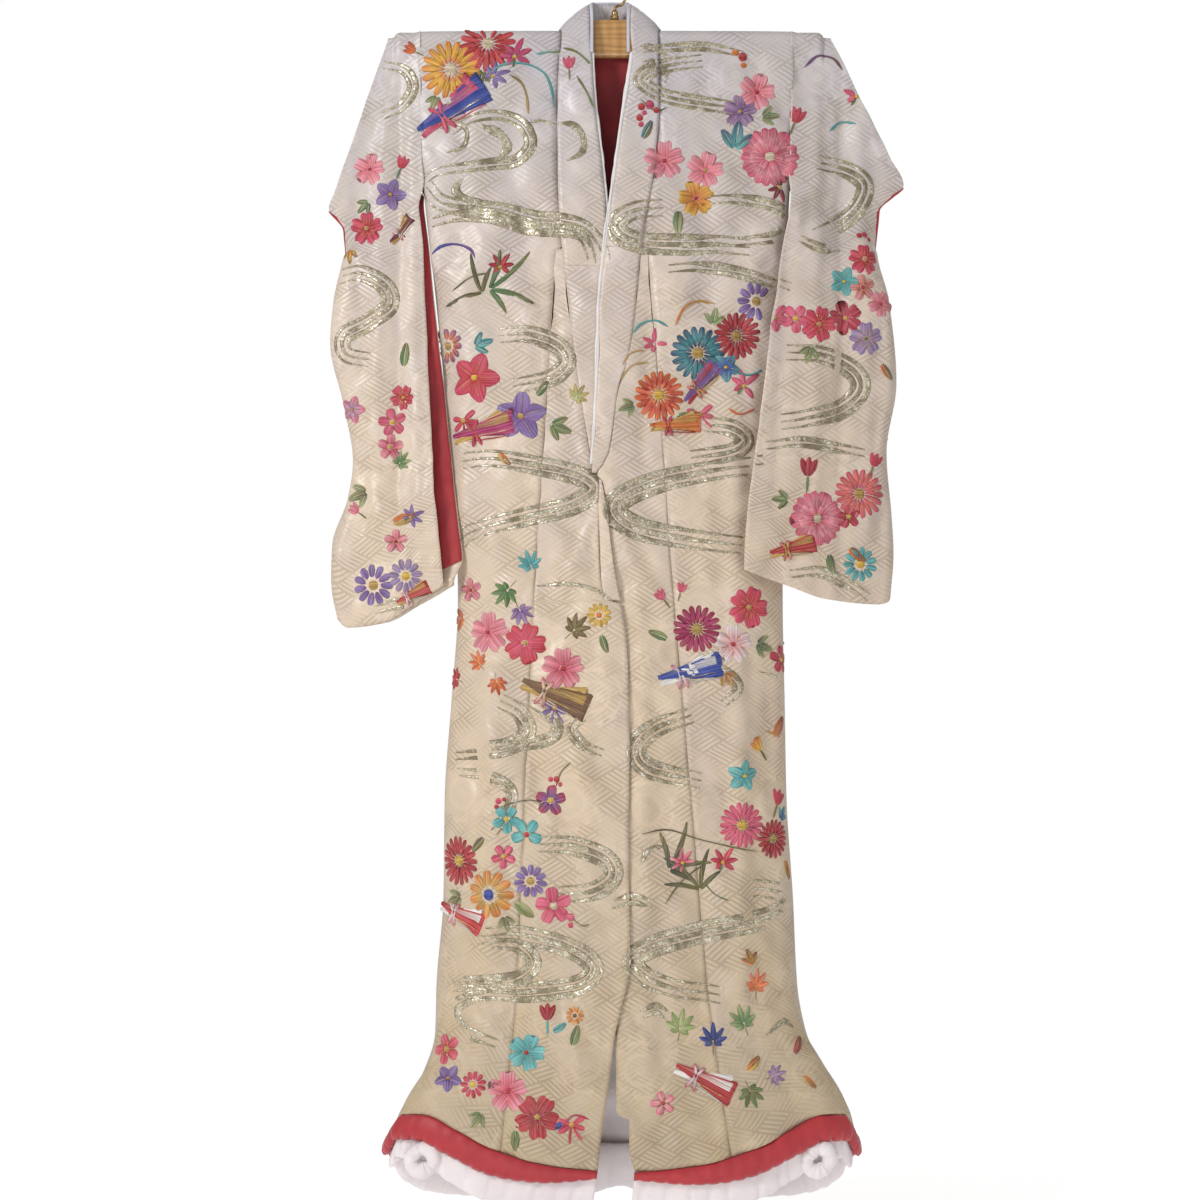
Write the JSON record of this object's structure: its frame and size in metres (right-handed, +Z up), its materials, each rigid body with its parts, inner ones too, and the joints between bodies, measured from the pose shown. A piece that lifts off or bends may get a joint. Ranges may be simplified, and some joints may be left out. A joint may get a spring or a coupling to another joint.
{
  "type": "silk kimono on a wooden hanger",
  "caption": "Formal lined kimono of cream figured silk with long sleeves and padded hems, hung on a straight wooden hanger.",
  "frame": {"origin": "inner top of the hanger's hook, where a rail holds it", "axes": "+Z up, the garment's front faces -Y, its width runs along X"},
  "size_m": [0.9153, 0.2551, 1.9634],
  "materials": {
    "damask_silk": "figured cream silk, soft sheen",
    "red_silk": "plain red silk lining",
    "white_silk": "padded white silk",
    "varnished_wood": "glossy clear varnish",
    "brass": "polished"
  },
  "bodies": {
    "root": {"back_left": "damask_silk", "back_lining": "red_silk", "back_right": "damask_silk", "collar_back": "damask_silk", "collar_left": "damask_silk", "collar_right": "damask_silk", "cuff_left_back": "red_silk", "cuff_left_front": "red_silk", "cuff_right_back": "red_silk", "cuff_right_front": "red_silk", "front_left": "damask_silk", "front_right": "damask_silk", "hanger_bar": "varnished_wood", "hanger_ferrule": "brass", "hanger_hook": "brass", "inner_layer_back": "white_silk", "overlap_panel_left": "damask_silk", "overlap_panel_right": "damask_silk", "red_hem_roll_back": "red_silk", "red_hem_roll_front_left": "red_silk", "red_hem_roll_front_right": "red_silk", "sleeve_left_back": "damask_silk", "sleeve_left_front": "damask_silk", "sleeve_left_lining": "red_silk", "sleeve_right_back": "damask_silk", "sleeve_right_front": "damask_silk", "white_edging_back": "white_silk", "white_edging_left": "white_silk", "white_edging_right": "white_silk", "white_hem_roll_back": "white_silk", "white_hem_roll_front_left": "white_silk", "white_hem_roll_front_right": "white_silk"}
  },
  "joints": []
}
